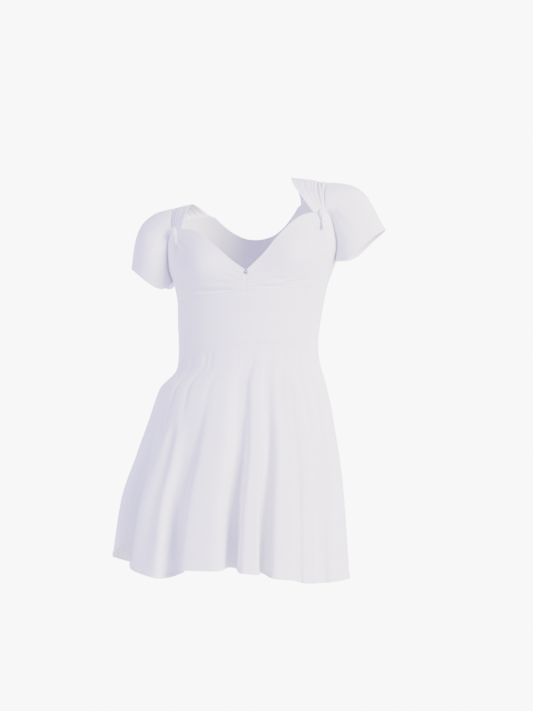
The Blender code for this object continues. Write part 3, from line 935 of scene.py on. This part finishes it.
def sleeveFace(arm):
    side = arms[arm][0]

    def surface(across, along):
        point = sleeveForm(arm, across, along)
        point[..., 0] *= side
        return posed(point)

    def outerFace(across, along):
        middle = surface(across, along)
        edges = runLengths(middle)
        outward = outwardOf(surface, across, along, *sleeveStep) * -side
        height = form["cloth"] / 2 + gatherHeight(across, along) + capHeight(across, along)
        height = height + hemBand(edges["right"], sleeve["hemBand"]) + hemBand(edges["left"], 5, 0.25)
        height = height + seamPull(edges["top"]) + seamPull(edges["bottom"])
        return middle + outward * height[..., None], edges

    return outerFace, surface


def makeSleeves():
    pieces = []
    for name, node, arm in (
        ("sleeveLeft", "sleeve_left", "left"), ("sleeveRight", "sleeve_right", "right"),
    ):
        side = arms[arm][0]
        outerFace, surface = sleeveFace(arm)
        gathered = np.linspace(0, sleeve["gatherEnd"], sleeve["columns"] * 6 // 10)
        cap = np.linspace(sleeve["gatherEnd"], 1, sleeve["columns"] * 4 // 10)[1:]
        across = np.concatenate((gathered, cap))
        down = fineEnds(0, 1, sleeve["rows"], 0.4)
        piece = knitPiece(name, node, across, down, outerFace, knitMaterial)
        along = np.linspace(0.02, 0.98, 500)
        atHem = np.full_like(along, 0.965)
        outward = outwardOf(surface, atHem, along, *sleeveStep) * -side
        path = surface(atHem, along) + outward * (form["cloth"] / 2 + 0.15)
        row = stitchRow(name + "HemStitches", path, outward, pitch=2.8, length=2.0, thickness=0.4)
        pieces.append((piece, row))
    return pieces


sleevePieces = makeSleeves()
print("sleeves made")

# Knots: a rolled loop of the knit wound round the gathers

knot = {
    "angle": 55.5,
    "level": 49,
    "size": (11, 8, 17),  # width, depth and height
    "bedding": 0.6,  # how far it is pressed into the cloth behind it
    "windings": 3.2,
    "slant": 0.55,
}


def makeKnots():
    pieces = []
    for name, node, side in (("knotLeft", "knot_left", 1), ("knotRight", "knot_right", -1)):
        angle, level = np.array([side * knot["angle"]]), np.array([float(knot["level"])])
        facing = outwardOf(uprightBody, angle, level, *uprightStep)[0]
        facing = Vector((facing[0], facing[1], 0)).normalized()
        width, depth, height = (size / 2 for size in knot["size"])
        stand = sleeve["stand"] + form["cloth"] / 2 + 0.3 + depth - knot["bedding"]
        centre = bodyPoint(angle, level)[0] + np.array((*(facing * stand)[:2], 0))
        middle = Vector(posed(centre[None, :])[0])
        sideways = Vector((facing.y, -facing.x, 0))
        ball = bmesh.new()
        ball.loops.layers.uv.new("weave")
        bmesh.ops.create_uvsphere(ball, u_segments=72, v_segments=56, radius=1, calc_uvs=True)
        for vertex in ball.verts:
            x, y, z = vertex.co
            turn = knot["windings"] * math.pi * (z + knot["slant"] * side * x)
            roll = abs(math.cos(turn)) ** 0.7
            swell = 0.9 + 0.13 * roll + 0.02 * math.sin(9 * x + 5 * z)
            offset = sideways * (x * width) + facing * (y * depth) + Vector((0, 0, z * height))
            vertex.co = (middle + offset * swell) / 1000
        for face in ball.faces:
            for loop in face.loops:
                loop[ball.loops.layers.uv["weave"]].uv *= 0.03
        bmesh.ops.recalc_face_normals(ball, faces=ball.faces[:])
        mesh = bpy.data.meshes.new(name)
        ball.to_mesh(mesh)
        ball.free()
        pieces.append(addPiece(name, mesh, knitMaterial, replaced=[node]))
    return pieces


knotPieces = makeKnots()
print("knots made")

# Stud: a small faceted crystal on a foil back, at the point of the neckline

stud = {
    "level": 134.6,
    "radius": 3.5,
    "height": 2.4,
    "facets": 12,
    "glass": "#e6e4f4",
    "foil": "#b9b7c8",
}


def makeStud():
    crystal = newMaterial("cut crystal glass")  # clear and sharp, sparkling from the foil behind it
    shader = addNode(crystal, "ShaderNodeBsdfPrincipled", inputs={
        "Base Color": (*linear(stud["glass"]), 1), "Roughness": 0.03, "IOR": 1.55,
        "Transmission Weight": 0.85,
    })
    finishMaterial(crystal, shader)
    foil = newMaterial("silvered foil")  # vapour-coated aluminium, a soft mirror
    shader = addNode(foil, "ShaderNodeBsdfPrincipled", inputs={
        "Base Color": (*linear(stud["foil"]), 1), "Metallic": 1.0, "Roughness": 0.22,
    })
    finishMaterial(foil, shader)
    angle, level = np.array([0.0]), np.array([float(stud["level"])])
    outward = Vector(outwardOf(dressAt, angle, level, *uprightStep)[0])
    base = Vector(dressAt(angle, level)[0]) + outward * (form["cloth"] / 2 + 0.3)
    turn = outward.to_track_quat("Z", "Y").to_matrix()
    gem = bmesh.new()
    radius, height = stud["radius"], stud["height"]
    bmesh.ops.create_cone(gem, cap_ends=True, segments=stud["facets"], radius1=radius * 0.9,
                          radius2=radius * 0.98, depth=height * 0.3)
    top = [f for f in gem.faces if f.normal.z > 0.9]
    for inset, rise in ((0.28, 0.32), (0.3, 0.3)):
        bmesh.ops.inset_region(gem, faces=top, thickness=radius * inset, depth=height * rise)
    for vertex in gem.verts:
        vertex.co = (base + turn @ (vertex.co + Vector((0, 0, height * 0.25)))) / 1000
    bmesh.ops.recalc_face_normals(gem, faces=gem.faces[:])
    mesh = bpy.data.meshes.new("studCrystal")
    gem.to_mesh(mesh)
    gem.free()
    gemPiece = addPiece("studCrystal", mesh, crystal, replaced=["centre_stud"])
    gemPiece.data.shade_flat()
    disc = bmesh.new()
    bmesh.ops.create_cone(disc, cap_ends=True, segments=32, radius1=radius,
                          radius2=radius * 0.95, depth=0.25)
    for vertex in disc.verts:
        vertex.co = (base + turn @ (vertex.co + Vector((0, 0, 0.1)))) / 1000
    bmesh.ops.recalc_face_normals(disc, faces=disc.faces[:])
    mesh = bpy.data.meshes.new("studFoil")
    disc.to_mesh(mesh)
    disc.free()
    addPiece("studFoil", mesh, foil).data.shade_flat()


makeStud()
print("stud made")

print("all pieces made")
